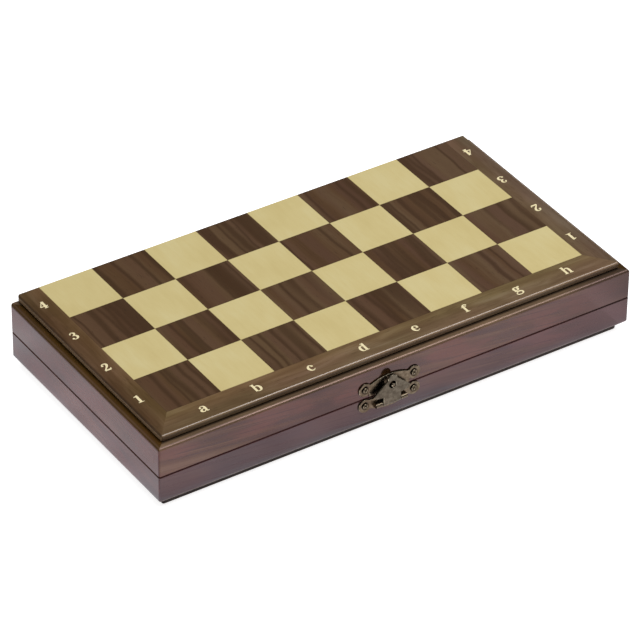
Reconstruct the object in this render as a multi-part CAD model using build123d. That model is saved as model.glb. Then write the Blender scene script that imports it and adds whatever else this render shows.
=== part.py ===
"""Folding chess box: two shallow wooden trays hinged along one long edge.

Each tray carries half a chess board on its outside. Closed, the halves make a box for the
pieces. Opened flat with the trays face down, they make the whole board.
X runs along the hinge, Y from the front to the hinge, Z up. The origin is the centre of the
underside of the closed box.
"""
from build123d import *
import os

# ---- board and trays (mm) -------------------------------------------------------------------
files = 8                    # squares along the hinge
ranks_per_half = 4           # squares from the hinge to the front of one half
square = 30.0                # side of a square
side_border = 12.0           # border strip at the left and right of the squares
front_border = 15.0          # border strip in front of the squares
veneer = 0.7                 # thickness of the squares
ledge = 4.0                  # rail top that stays bare outside the border strips
rail_thickness = 9.0         # wall of the tray
half_height = 20.3           # rim to playing surface, the same in both halves
lid_plate_height = 3.7       # playing surface above the rails
base_plate_height = 5.1
panel_edge = 3.0             # thickness of the panel's edge, and depth of its rebate
rebate_width = 3.0           # how far the panel's edge reaches into the rails
panel_clearance = 0.1        # between the panel's edge and the rebate
felt_thickness = 0.8
felt_clearance = 0.4         # between the felt's edge and the rails

# ---- rounded edges --------------------------------------------------------------------------
rail_corner_radius = 1.0     # upright corners of the trays
rail_edge_radius = 1.6       # outer edge of the ledge
rim_chamfer = 0.4            # outer edge of the rim, where the halves meet
plate_corner_radius = 1.3    # upright corners of the border
plate_top_radius = 1.2       # playing-surface edge of the border
shadow_gap_height = 0.8      # groove round the foot of the border, above the ledge
shadow_gap_depth = 1.0

# ---- butt hinges ----------------------------------------------------------------------------
hinge_inset = 48.0           # middle of a hinge to the near end of the case
hinge_backset = 0.05         # pin axis behind the rear faces of the trays
knuckle_radius = 1.6
knuckle_gap = 0.15           # along and round each knuckle
hinge_pin_radius = 0.7
pin_running_clearance = 0.06
pin_tight_clearance = 0.02
leaf_thickness = 0.85
leaf_width = 7.2             # pin axis to the far edge of the leaf
leaf_recess = 0.05           # leaf face below the rim
mortise_clearance = 0.1
leaf_corner_radius = 0.8
screw_spacing = 15.0         # between the two screws of a leaf
screw_end_distance = 5.0     # screw to the end of the leaf
screw_edge_distance = 2.8    # screw to the far edge of the leaf
screw_head_radius = 1.7
screw_shank_radius = 0.85
screw_length = 6.5
screw_clearance = 0.06       # round the screw in the leaf and in the rail

# ---- hasp latch -----------------------------------------------------------------------------
latch_offset = -7.0          # latch middle from the middle of the front rail
plate_thickness = 0.8
ear_radius = 3.7
ear_reach = 14.0             # latch middle to the middle of an ear
ear_inset = 2.4              # middle of an ear to the side of the plate it grows from
upper_ear_height = 5.6       # above the rims
lower_ear_depth = 3.8        # below the rims
upper_plate_top = 10.2       # crown of the upper plate above the rims
lower_plate_bottom = 8.8     # crown of the lower plate below the rims
plate_rim_gap = 0.9          # between each plate and the rims
plate_shoulder = 2.8         # crown of a plate to its shoulders
plate_valley_radius = 0.9    # between an ear and the crown of a plate
plate_chamfer = 0.2
ear_dish_radius = 2.5
ear_dish_depth = 0.35
nail_head_radius = 1.55
nail_head_height = 0.9
nail_crown_height = 0.5      # slope of the head above its rim
nail_shank_radius = 0.65
nail_length = 6.5
nail_clearance = 0.06
flap_thickness = 0.8
flap_pivot_depth = 5.0       # pivot axis below the rims
flap_barrel_radius = 1.2
flap_barrel_half_length = 5.0
flap_barrel_clearance = 0.15
flap_pin_radius = 0.5
side_barrel_length = 3.7
flap_wing_reach = 10.7       # latch middle to the tip of a wing
flap_wing_height = 1.3       # tip of a wing above the rims
flap_toe_reach = 8.9         # latch middle to the outer end of a wing's underside
flap_toe_depth = 0.4         # that end below the rims
flap_heel_depth = 1.0        # inner end of a wing's underside below the rims
flap_tip_height = 11.0       # top of the flap above the rims
flap_tip_radius = 2.7
flap_chamfer = 0.2
catch_height = 5.3           # lug and its hole above the rims
catch_hole_radius = 2.0
lug_radius = 1.0
lug_chamfer = 0.4
lug_proud = 0.9              # lug end in front of the flap

# ---- sizes that follow ----------------------------------------------------------------------
field_length = files * square
field_depth = ranks_per_half * square
plate_length = field_length + 2 * side_border
plate_depth = field_depth + front_border
case_length = plate_length + 2 * ledge
case_depth = plate_depth + ledge
rear = case_depth / 2
front = -case_depth / 2
field_front = rear - field_depth
plate_front = rear - plate_depth
lid_rail_height = half_height - lid_plate_height
base_rail_height = half_height - base_plate_height
cavity_length = case_length - 2 * rail_thickness
cavity_depth = case_depth - 2 * rail_thickness
hinge_axis_y = rear + hinge_backset
hinge_length = screw_spacing + 2 * screw_end_distance
mortise_depth = leaf_recess + leaf_thickness + leaf_recess
knuckle_channel_radius = knuckle_radius + knuckle_gap
hinge_middles = {"left": hinge_inset - case_length / 2, "right": case_length / 2 - hinge_inset}
plate_half_width = ear_reach - ear_inset
pivot_standoff = plate_thickness + flap_barrel_clearance + flap_barrel_radius
flap_face = pivot_standoff + flap_barrel_radius      # outer face of the flap from the rails
flap_back = flap_face - flap_thickness
through = 2 * half_height    # longer than any plate or rail is thick
near = 0.01                  # tolerance for picking edges by their place


def block(x0, x1, y0, y1, z0, z1):
    """A box between two corners."""
    size = (x1 - x0, y1 - y0, z1 - z0)
    return Pos((x0 + x1) / 2, (y0 + y1) / 2, (z0 + z1) / 2) * Box(*size)


def prism(points, z0, z1):
    """An upright prism on a polygon."""
    return Pos(0, 0, z0) * extrude(make_face(Polyline(*points, close=True)), amount=z1 - z0)


def rod(radius, length, at=(0, 0, 0)):
    """A cylinder along X."""
    return Pos(*at) * Rot(0, 90, 0) * Cylinder(radius, length)


def one(shape):
    """The single solid of a shape."""
    return shape.solids()[0]


# One half is modelled with its rim on Z = 0 and its playing surface at Z = half_height. The
# lid stands as modelled. The base is its mirror image below the rims.
def as_lid(shape):
    return Pos(0, 0, half_height) * shape


def as_base(shape):
    return Pos(0, 0, half_height) * mirror(shape, about=Plane.XY)


# ---- tray -----------------------------------------------------------------------------------
def open_edges(solid, z):
    """The outer edges at height z that aren't on the rear face."""
    level = solid.edges().filter_by_position(Axis.Z, z - near, z + near)
    return [edge for edge in level if edge.center().Y < rear - near]


def eased_slab(length, y0, z0, z1, corner_radius, top_radius):
    """A slab from y0 to the rear face, its top rounded all round but along the rear face."""
    slab = block(-length / 2, length / 2, y0, rear, z0, z1)
    uprights = slab.edges().filter_by(Axis.Z)
    slab = fillet([edge for edge in uprights if edge.center().Y < rear - near], corner_radius)
    slab = fillet(open_edges(slab, z1), top_radius)
    plan = Pos(0, (y0 + rear) / 2) * RectangleRounded(length, rear - y0, corner_radius)
    return slab & Pos(0, 0, z0) * extrude(plan, amount=z1 - z0)


def screw_points():
    """Places of the screws of both hinges on a rim."""
    y = hinge_axis_y - leaf_width + screw_edge_distance
    return [(middle + side * screw_spacing / 2, y)
            for middle in hinge_middles.values() for side in (-1, 1)]


def hinge_pocket(middle):
    """The mortise of one leaf and the channel of its knuckles."""
    half = hinge_length / 2 + mortise_clearance
    far_edge = hinge_axis_y - leaf_width - mortise_clearance
    outside = hinge_axis_y + knuckle_channel_radius
    mortise = block(middle - half, middle + half, far_edge, outside, 0, mortise_depth)
    return mortise + rod(knuckle_channel_radius, 2 * half, (middle, hinge_axis_y, 0))


def make_rails(rail_height):
    """The four mitred rails of a tray, with the rebate for the panel."""
    frame = eased_slab(case_length, front, 0, rail_height, rail_corner_radius, rail_edge_radius)
    frame = chamfer(open_edges(frame, 0), rim_chamfer)
    x, y = cavity_length / 2, cavity_depth / 2
    frame -= block(-x, x, -y, y, 0, rail_height)
    lip = rebate_width
    frame -= block(-x - lip, x + lip, -y - lip, y + lip, rail_height - panel_edge, rail_height)
    for middle in hinge_middles.values():
        frame -= hinge_pocket(middle)
    for sx, sy in screw_points():
        frame -= Pos(sx, sy, screw_length / 2) * Cylinder(screw_shank_radius + screw_clearance,
                                                          screw_length + screw_clearance)
    xo, yo = case_length / 2, case_depth / 2
    corners = {
        "front": [(-xo, -yo), (xo, -yo), (x, -y), (-x, -y)],
        "rear": [(-xo, yo), (xo, yo), (x, y), (-x, y)],
        "left": [(-xo, -yo), (-x, -y), (-x, y), (-xo, yo)],
        "right": [(xo, -yo), (x, -y), (x, y), (xo, yo)],
    }
    return {side: one(frame & prism(points, 0, rail_height)) for side, points in corners.items()}


def make_panel(rail_height):
    """The stepped panel: its edge lies in the rebate, its middle carries the squares."""
    x = cavity_length / 2 + rebate_width - panel_clearance
    y = cavity_depth / 2 + rebate_width - panel_clearance
    edge = block(-x, x, -y, y, rail_height - panel_edge, rail_height)
    step = block(-field_length / 2, field_length / 2, field_front, rear,
                 rail_height, half_height - veneer)
    return one(edge + step)


def make_borders(rail_height):
    """The three mitred border strips round the squares."""
    gap_top = rail_height + shadow_gap_height
    foot = plate_length / 2 - shadow_gap_depth
    plate = eased_slab(plate_length, plate_front, gap_top, half_height,
                       plate_corner_radius, plate_top_radius)
    plate += block(-foot, foot, plate_front + shadow_gap_depth, rear, rail_height, gap_top)
    xi, yi = field_length / 2, field_front
    xo, yo = plate_length / 2, plate_front
    corners = {
        "front": [(-xo, yo), (xo, yo), (xi, yi), (-xi, yi)],
        "left": [(-xo, yo), (-xi, yi), (-xi, rear), (-xo, rear)],
        "right": [(xo, yo), (xi, yi), (xi, rear), (xo, rear)],
    }
    return {side: one(plate & prism(points, rail_height, half_height))
            for side, points in corners.items()}


def make_squares(parity):
    """The squares of one colour: 0 has the front left one, 1 has its neighbours."""
    pieces = []
    for column in range(files):
        for row in range(ranks_per_half):
            if (column + row) % 2 == parity:
                x0 = -field_length / 2 + column * square
                y0 = field_front + row * square
                pieces.append(block(x0, x0 + square, y0, y0 + square,
                                    half_height - veneer, half_height))
    return Compound(children=pieces)


def make_felt(rail_height):
    """The lining of the tray, glued to the inside of the panel."""
    x = cavity_length / 2 - felt_clearance
    y = cavity_depth / 2 - felt_clearance
    floor = rail_height - panel_edge
    return block(-x, x, -y, y, floor - felt_thickness, floor)


# ---- hinges ---------------------------------------------------------------------------------
def knuckle_spans(middle):
    """Centres and length of the three knuckles of a hinge."""
    length = (hinge_length - 2 * knuckle_gap) / 3
    pitch = length + knuckle_gap
    return [middle - pitch, middle, middle + pitch], length


def make_leaf(middle, own, bore_clearance):
    """A leaf with the knuckles whose indexes are in own, let into the rim."""
    centres, length = knuckle_spans(middle)
    z0, z1 = leaf_recess, leaf_recess + leaf_thickness
    inner = hinge_axis_y - knuckle_channel_radius
    far = hinge_axis_y - leaf_width
    leaf = block(middle - hinge_length / 2, middle + hinge_length / 2, far, inner, z0, z1)
    far_corners = [edge for edge in leaf.edges().filter_by(Axis.Z) if edge.center().Y < far + near]
    leaf = fillet(far_corners, leaf_corner_radius)
    for index in own:
        x = centres[index]
        leaf += block(x - length / 2, x + length / 2, inner, hinge_axis_y, z0, z1)
        leaf += rod(knuckle_radius, length, (x, hinge_axis_y, 0))
    leaf -= rod(hinge_pin_radius + bore_clearance, hinge_length, (middle, hinge_axis_y, 0))
    for sx, sy in screw_points():
        leaf -= Pos(sx, sy, 0) * screw_form(screw_clearance)
    return one(leaf)


def screw_form(clearance):
    """A countersunk screw, its head's face on the leaf and its shank up."""
    head = screw_head_radius + clearance
    shank = screw_shank_radius + clearance
    z0 = leaf_recess
    profile = Polyline((0, z0), (head, z0), (shank, z0 + head - shank), (shank, screw_length),
                       (0, screw_length), close=True)
    return revolve(Plane.XZ * make_face(profile), Axis.Z)


def make_screws():
    """The screws of both hinges in one half."""
    return Compound(children=[Pos(x, y, 0) * one(screw_form(0)) for x, y in screw_points()])


def make_hinge_pin(middle):
    """A pin as long as the three knuckles."""
    return rod(hinge_pin_radius, hinge_length, (middle, hinge_axis_y, 0))


# ---- latch ----------------------------------------------------------------------------------
# The latch is drawn on the front face: x along the rail from the latch's middle, y above the
# rims, and outwards from the rails along the normal.
latch_face = Plane(origin=(latch_offset, front, half_height), x_dir=(1, 0, 0), z_dir=(0, -1, 0))
latch_sides = (-1, 1)


def latch_rod(radius, length, x, standoff):
    """A cylinder along X on the flap's pivot line."""
    return rod(radius, length, (latch_offset + x, front - standoff, half_height - flap_pivot_depth))


def plate_outline(sign, ear_y, crown):
    """The outline of an eared plate; sign is 1 above the rims and -1 below."""
    base_y, shoulder_y, crown_y = sign * plate_rim_gap, sign * (crown - plate_shoulder), sign * crown
    sides = Polyline((-plate_half_width, shoulder_y), (-plate_half_width, base_y),
                     (plate_half_width, base_y), (plate_half_width, shoulder_y))
    arch = ThreePointArc((plate_half_width, shoulder_y), (0, crown_y),
                         (-plate_half_width, shoulder_y))
    outline = make_face(sides + arch)
    for side in latch_sides:
        outline += Pos(side * ear_reach, ear_y) * Circle(ear_radius)
    valleys = [vertex for vertex in outline.vertices() if abs(vertex.Y) > abs(ear_y)
               and abs(vertex.X) < ear_reach]
    return fillet(valleys, plate_valley_radius)


def eared_plate(sign, ear_y, crown):
    """A pressed plate with a dished nail hole in each ear."""
    plate = extrude(latch_face * plate_outline(sign, ear_y, crown), amount=plate_thickness)
    outer = plate.faces().sort_by(Axis.Y)[0]
    plate = chamfer(outer.edges(), plate_chamfer)
    for side in latch_sides:
        centre = latch_face.offset(plate_thickness) * Pos(side * ear_reach, ear_y)
        plate -= centre * Cylinder(nail_shank_radius + nail_clearance, through)
        seat = nail_head_radius + nail_clearance
        plate -= centre * Pos(0, 0, -ear_dish_depth / 2) * Cone(seat, ear_dish_radius,
                                                                ear_dish_depth)
    return plate


def make_upper_plate():
    """The plate on the lid, with the lug that the flap drops over."""
    plate = eared_plate(1, upper_ear_height, upper_plate_top)
    reach = flap_face + lug_proud
    lug = latch_face * Pos(0, catch_height, reach / 2) * Cylinder(lug_radius, reach)
    tip = lug.faces().sort_by(Axis.Y)[0]
    return one(plate + chamfer(tip.edges(), lug_chamfer))


def make_lower_plate():
    """The plate on the base, with a rolled barrel at each side of the flap's own."""
    plate = eared_plate(-1, -lower_ear_depth, lower_plate_bottom)
    for side in latch_sides:
        x = side * (flap_barrel_half_length + 2 * flap_barrel_clearance + side_barrel_length / 2)
        barrel = latch_rod(flap_barrel_radius, side_barrel_length, x, pivot_standoff)
        web = latch_face * Pos(x, -flap_pivot_depth, pivot_standoff / 2)
        barrel += web * Box(side_barrel_length, 2 * flap_barrel_radius, pivot_standoff)
        plate += barrel
    bore = flap_pin_radius + pin_tight_clearance
    return one(plate - latch_rod(bore, case_length, 0, pivot_standoff))


def flap_outline():
    """The fan-shaped flap: a stem at the pivot, two wings, and a rounded top."""
    stem = flap_barrel_half_length
    top_y = flap_tip_height - flap_tip_radius
    right = [(stem, -flap_pivot_depth), (stem, -flap_heel_depth),
             (flap_toe_reach, -flap_toe_depth), (flap_wing_reach, flap_wing_height),
             (flap_tip_radius, top_y)]
    left = [(-x, y) for x, y in reversed(right)]
    outline = make_face(Polyline(*right, *left, close=True))
    outline += Pos(0, top_y) * Circle(flap_tip_radius)
    outline -= Pos(0, catch_height) * Circle(catch_hole_radius)
    return outline


def make_flap():
    """The hasp flap with its rolled barrel."""
    flap = extrude(latch_face.offset(flap_back) * flap_outline(), amount=flap_thickness)
    outer = flap.faces().sort_by(Axis.Y)[0]
    flap = chamfer(outer.edges(), flap_chamfer)
    flap += latch_rod(flap_barrel_radius, 2 * flap_barrel_half_length, 0, pivot_standoff)
    bore = flap_pin_radius + pin_running_clearance
    return one(flap - latch_rod(bore, case_length, 0, pivot_standoff))


def make_flap_pin():
    """The pin through the flap's barrel and the two barrels beside it."""
    half = flap_barrel_half_length + 2 * flap_barrel_clearance + side_barrel_length
    return latch_rod(flap_pin_radius, 2 * half, 0, pivot_standoff)


def nail_places(ear_y):
    """Frames in the dishes of the two ears, outwards along Z."""
    return [latch_face.offset(plate_thickness - ear_dish_depth) * Pos(side * ear_reach, ear_y)
            for side in latch_sides]


def nail_form():
    """A nail with a raised head, the head's underside on Z = 0 and the shank down."""
    profile = Polyline((0, nail_head_height), (0, -nail_length),
                       (nail_shank_radius, -nail_length),
                       (nail_shank_radius, 0), (nail_head_radius, 0),
                       (nail_head_radius, nail_head_height - nail_crown_height), close=True)
    return revolve(Plane.XZ * make_face(profile), Axis.Z)


def make_nails(ear_y):
    return Compound(children=[one(place * nail_form()) for place in nail_places(ear_y)])


def nail_holes(ear_y):
    """The holes that the nails of a plate need in the rail behind it."""
    hole = Cylinder(nail_shank_radius + nail_clearance, nail_length + nail_clearance)
    return [place * Pos(0, 0, -nail_length / 2) * hole for place in nail_places(ear_y)]


# ---- assembly -------------------------------------------------------------------------------
def make_half(prefix, rail_height, place, dark_parity, own_knuckles, bore_clearance, ear_y):
    """The wood, felt, hinge leaves and hinge screws of one half, in their final places."""
    nodes = {}
    for side, rail in make_rails(rail_height).items():
        nodes[f"{prefix}_{side}_rail"] = place(rail)
    nodes[f"{prefix}_front_rail"] = one(nodes[f"{prefix}_front_rail"] - nail_holes(ear_y))
    nodes[f"{prefix}_board_panel"] = place(make_panel(rail_height))
    for side, strip in make_borders(rail_height).items():
        nodes[f"{prefix}_{side}_border"] = place(strip)
    nodes[f"{prefix}_dark_squares"] = place(make_squares(dark_parity))
    nodes[f"{prefix}_light_squares"] = place(make_squares(1 - dark_parity))
    nodes[f"{prefix}_felt"] = place(make_felt(rail_height))
    for name, middle in hinge_middles.items():
        leaf = make_leaf(middle, own_knuckles, bore_clearance)
        nodes[f"{name}_hinge_{prefix}_leaf"] = place(leaf)
    nodes[f"{prefix}_hinge_screws"] = place(make_screws())
    return nodes


nodes = {}
nodes.update(make_half("lid", lid_rail_height, as_lid, 0, (1,), pin_running_clearance,
                       upper_ear_height))
nodes.update(make_half("base", base_rail_height, as_base, 1, (0, 2), pin_tight_clearance,
                       -lower_ear_depth))
for name, middle in hinge_middles.items():
    nodes[f"{name}_hinge_pin"] = Pos(0, 0, half_height) * make_hinge_pin(middle)
nodes["latch_upper_plate"] = make_upper_plate()
nodes["latch_upper_nails"] = make_nails(upper_ear_height)
nodes["latch_lower_plate"] = make_lower_plate()
nodes["latch_lower_nails"] = make_nails(-lower_ear_depth)
nodes["latch_pin"] = make_flap_pin()
nodes["latch_flap"] = make_flap()

os.makedirs("parts", exist_ok=True)
for name, shape in nodes.items():
    shape.label = name
    export_step(shape, f"parts/{name}.step")
print(len(nodes), "nodes")
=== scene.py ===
"""Looks of the folding chess box: walnut and maple board, lacquered rails, bronze latch."""

import math

import bmesh
import bpy
from mathutils import Matrix, Vector
from mathutils.geometry import convex_hull_2d, delaunay_2d_cdt


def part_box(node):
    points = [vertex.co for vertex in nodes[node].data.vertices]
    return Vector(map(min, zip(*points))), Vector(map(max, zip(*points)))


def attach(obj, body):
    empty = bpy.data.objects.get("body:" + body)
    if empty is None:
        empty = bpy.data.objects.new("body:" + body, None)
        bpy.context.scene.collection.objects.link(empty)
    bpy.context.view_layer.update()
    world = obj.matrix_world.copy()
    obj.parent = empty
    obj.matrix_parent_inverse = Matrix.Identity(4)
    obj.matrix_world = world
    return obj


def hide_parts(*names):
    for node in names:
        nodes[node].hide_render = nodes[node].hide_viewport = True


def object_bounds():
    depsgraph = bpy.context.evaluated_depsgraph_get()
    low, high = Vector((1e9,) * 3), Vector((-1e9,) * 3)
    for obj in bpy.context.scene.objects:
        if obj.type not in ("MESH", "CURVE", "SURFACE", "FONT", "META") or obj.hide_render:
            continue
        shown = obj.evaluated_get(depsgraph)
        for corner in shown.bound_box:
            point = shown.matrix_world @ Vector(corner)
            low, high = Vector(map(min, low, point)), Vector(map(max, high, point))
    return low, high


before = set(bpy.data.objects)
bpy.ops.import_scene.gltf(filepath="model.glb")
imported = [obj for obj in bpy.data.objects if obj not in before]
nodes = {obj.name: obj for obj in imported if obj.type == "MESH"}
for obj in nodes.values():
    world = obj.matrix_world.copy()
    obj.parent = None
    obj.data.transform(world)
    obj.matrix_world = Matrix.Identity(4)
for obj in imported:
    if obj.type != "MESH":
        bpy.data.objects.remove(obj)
cad_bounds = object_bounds()
MM = 0.001

# ---- the camera's place, at the photo's viewing angle -------------------------------------------
CAMERA_AZIMUTH = math.radians(33.306)      # from -Y towards -X
CAMERA_ELEVATION = math.radians(35.75)
CAMERA_ROLL = math.radians(0.474)
CAMERA_DISTANCE = 2.0853
CAMERA_TARGET = Vector((-0.01909, -0.02717, 0.0406))
CAMERA_SENSOR = 36                         # mm
CAMERA_LENS = 242.8                        # mm

# ---- the board's grid and the case's faces, from the frame --------------------------------------
squares_low, squares_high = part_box("lid_dark_squares")
lid_rail_low, lid_rail_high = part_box("lid_front_rail")
FILES, RANKS = 8, 4
SQUARE = (squares_high.x - squares_low.x) / FILES
FIELD_LEFT, FIELD_FRONT = squares_low.x, squares_low.y
BOARD_TOP = squares_high.z
RIM = lid_rail_low.z                       # where the halves meet
RAIL_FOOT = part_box("base_front_rail")[0].z  # underside of the base's rails
BORDER_HEIGHT = {"lid": BOARD_TOP - lid_rail_high.z, "base": RAIL_FOOT}
BORDER_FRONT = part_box("lid_front_border")[0].y
CASE_FRONT = lid_rail_low.y
LATCH_THICKNESS = 0.8 * MM                 # of its plates
LATCH_FACE = CASE_FRONT - LATCH_THICKNESS


# ---- node graphs --------------------------------------------------------------------------------
class Nodes:
    """A node graph under construction: most methods add a node and return its output."""

    def __init__(self, tree):
        self.tree = tree

    def node(self, kind, inputs=None, **settings):
        made = self.tree.nodes.new(kind)
        for name, value in settings.items():
            setattr(made, name, value)
        for key, value in (inputs or {}).items():
            self.feed(made.inputs[key], value)
        return made

    def feed(self, socket, value):
        """Links an output to a socket, or writes a plain value into it."""
        if isinstance(value, bpy.types.NodeSocket):
            self.tree.links.new(value, socket)
        else:
            socket.default_value = value

    def place(self):
        return self.node("ShaderNodeTexCoord").outputs["Object"]

    def normal(self):
        return self.node("ShaderNodeTexCoord").outputs["Normal"]

    def light_path(self, ray):
        return self.node("ShaderNodeLightPath").outputs[ray]

    def parts(self, vector):
        """The X, Y and Z outputs of a vector."""
        return self.node("ShaderNodeSeparateXYZ", {0: vector}).outputs

    def scaled(self, vector, scale, offset=(0, 0, 0), turn=(0, 0, 0)):
        mapping = self.node("ShaderNodeMapping", {"Vector": vector, "Scale": scale,
                                                  "Location": offset, "Rotation": turn})
        return mapping.outputs["Vector"]

    def noise(self, vector, scale=1.0, detail=4.0, roughness=0.55, distortion=0.0):
        made = self.node("ShaderNodeTexNoise", {
            "Vector": vector, "Scale": scale, "Detail": detail, "Roughness": roughness,
            "Distortion": distortion})
        return made.outputs["Fac"]

    def hash(self, vector):
        """A random colour for each different value of a vector."""
        return self.node("ShaderNodeTexWhiteNoise", {"Vector": vector}).outputs["Color"]

    def math(self, operation, a, b=0.0, c=0.0, clamp=False):
        made = self.node("ShaderNodeMath", {0: a, 1: b, 2: c}, operation=operation,
                         use_clamp=clamp)
        return made.outputs[0]

    def times(self, a, b):
        return self.math("MULTIPLY", a, b)

    def size(self, value):
        return self.math("ABSOLUTE", value)

    def greatest(self, first, *others):
        for other in others:
            first = self.math("MAXIMUM", first, other)
        return first

    def vector_math(self, operation, a, b=(0, 0, 0)):
        return self.node("ShaderNodeVectorMath", {0: a, 1: b}, operation=operation).outputs[0]

    def ramp(self, value, stops):
        """A colour ramp with (position, colour) stops."""
        made = self.node("ShaderNodeValToRGB", {"Fac": value})
        elements = made.color_ramp.elements
        while len(elements) < len(stops):
            elements.new(0.5)
        for element, (position, colour) in zip(elements, stops):
            element.position = position
            element.color = colour
        return made.outputs["Color"]

    def level(self, value, low, high, to_low=0.0, to_high=1.0, smooth=False):
        """Maps low to to_low and high to to_high, and holds them outside that range."""
        made = self.node("ShaderNodeMapRange", {
            "Value": value, "From Min": low, "From Max": high, "To Min": to_low,
            "To Max": to_high}, interpolation_type="SMOOTHSTEP" if smooth else "LINEAR")
        return made.outputs["Result"]

    def mix(self, factor, a, b, blend="MIX"):
        made = self.node("ShaderNodeMix", data_type="RGBA", blend_type=blend)
        for key, value in ((0, factor), (6, a), (7, b)):
            self.feed(made.inputs[key], value)
        return made.outputs[2]

    def tinted(self, colour, tint):
        """A colour times another one."""
        return self.mix(1.0, colour, tint, blend="MULTIPLY")


class Shader(Nodes):
    """A material and the graph in front of its surface shader."""

    def __init__(self, name):
        self.material = bpy.data.materials.new(name)
        self.material.use_nodes = True
        super().__init__(self.material.node_tree)
        self.surface = self.tree.nodes["Principled BSDF"]

    def set(self, **inputs):
        """Sets sockets of the surface shader; underscores stand for spaces."""
        for key, value in inputs.items():
            self.feed(self.surface.inputs[key.replace("_", " ")], value)

    def bump(self, height, distance, strength=1.0):
        made = self.node("ShaderNodeBump", {"Height": height, "Distance": distance,
                                            "Strength": strength})
        self.feed(self.surface.inputs["Normal"], made.outputs["Normal"])

    def upward(self):
        """1 on level faces, up or down, and 0 on upright ones."""
        return self.size(self.parts(self.normal())[2])

    def square_on(self):
        """1 on faces that are square to an axis, and less on slanted and rounded ones."""
        return self.greatest(*(self.size(part) for part in self.parts(self.normal())))


def rgb(red, green, blue):
    """A colour from 0 to 255 sRGB values, as the shaders want it."""
    def linear(value):
        value /= 255
        return value / 12.92 if value <= 0.04045 else ((value + 0.055) / 1.055) ** 2.4
    return (linear(red), linear(green), linear(blue), 1.0)


def paint(material, *names):
    """Gives CAD nodes a finished material in their own slot."""
    for name in names:
        nodes[name].material_slots[0].material = material


# ---- the board's woods --------------------------------------------------------------------------
# Scales of the textures are in waves per metre, and most woods name them along and across the
# grain. Colours that follow a long side go from its left end, -GLOW_REACH, to its right end.
GLOW_REACH = 110 * MM


def grain(axis, along, across):
    """Texture scales for grain that runs along an axis (0 for X, 1 for Y)."""
    return tuple(along if index == axis else across for index in range(3))


def glow(s, colour, left, right):
    """Tints a colour differently at the left and right end of the box."""
    share = s.level(s.parts(s.place())[0], -GLOW_REACH, GLOW_REACH)
    return s.tinted(colour, s.mix(share, (*left, 1), (*right, 1)))


def board_cells(s, place):
    """A place counted in squares from the field's corner; its Z tells the halves apart."""
    return s.scaled(place, (1 / SQUARE, 1 / SQUARE, 1 / (25 * MM)),
                    (-FIELD_LEFT / SQUARE, -FIELD_FRONT / SQUARE, 0))


def veneer_leaf(s, place):
    """A flat place in the veneer, another stretch of it for each square."""
    chance = s.hash(s.vector_math("FLOOR", board_cells(s, place)))
    return s.vector_math("MULTIPLY", s.vector_math("ADD", place, chance), (1, 1, 0))


def square_joints(s, place):
    """1 on the glue lines between the squares and 0 inside them."""
    cells = s.parts(board_cells(s, place))
    lines = []
    for axis in range(2):
        part = s.math("FRACT", cells[axis])
        edge = s.math("MINIMUM", part, s.math("SUBTRACT", 1.0, part))
        lines.append(s.level(edge, 0.05 * MM / SQUARE, 0.35 * MM / SQUARE, 1.0, 0.0, smooth=True))
    return s.greatest(*lines)


def make_dark_veneer(name):
    """Streaky walnut, each square cut from another place in the veneer."""
    s = Shader(name)
    place = s.place()
    leaf = veneer_leaf(s, place)
    sway = s.noise(s.scaled(leaf, (30, 45, 1)), detail=1.0)
    sway = s.math("MULTIPLY_ADD", sway, 3 * MM, -1.5 * MM)
    leaf = s.vector_math("ADD", leaf, s.node("ShaderNodeCombineXYZ", {0: sway}).outputs[0])
    bands = s.noise(s.scaled(leaf, (68, 3, 1)), detail=1.2)
    waves = s.noise(s.scaled(leaf, (125, 3, 1), (9, 4, 0)), detail=0.7)
    blush = s.noise(s.scaled(leaf, (110, 5, 1), (3, 8, 0)), detail=1.0)
    fibres = s.noise(s.scaled(leaf, (1100, 40, 1)), detail=3.0)
    pores = s.noise(s.scaled(leaf, (2600, 170, 1)), detail=1.0)
    # broad bands of brown, some of them reddish
    tone = s.math("MULTIPLY_ADD", fibres, 0.12, s.times(bands, 0.9))
    colour = s.ramp(tone, [(0.34, rgb(77, 52, 32)), (0.46, rgb(88, 62, 40)),
                           (0.56, rgb(98, 74, 51)), (0.68, rgb(90, 66, 45))])
    blush = s.level(blush, 0.44, 0.62, 0.0, 0.5, smooth=True)
    colour = s.mix(blush, colour, rgb(92, 64, 49))
    # a dark streak wherever the waves cross their middle
    offset = s.size(s.math("SUBTRACT", waves, 0.5))
    streak = s.level(offset, 0.0, 0.1, 0.75, 0.0, smooth=True)
    colour = s.mix(streak, colour, rgb(65, 43, 25))
    colour = glow(s, colour, (0.98, 1.02, 0.98), (1.06, 1.14, 1.26))
    pore = s.level(pores, 0.66, 0.74, 0.0, 0.55)
    colour = s.mix(pore, colour, rgb(44, 29, 21))
    colour = s.mix(s.times(square_joints(s, place), 0.5), colour, rgb(52, 40, 22))
    s.set(Base_Color=colour, Roughness=s.level(fibres, 0.3, 0.7, 0.5, 0.42),
          Specular_IOR_Level=0.15)
    s.bump(s.math("SUBTRACT", fibres, pore), 0.012 * MM)
    return s.material


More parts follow.
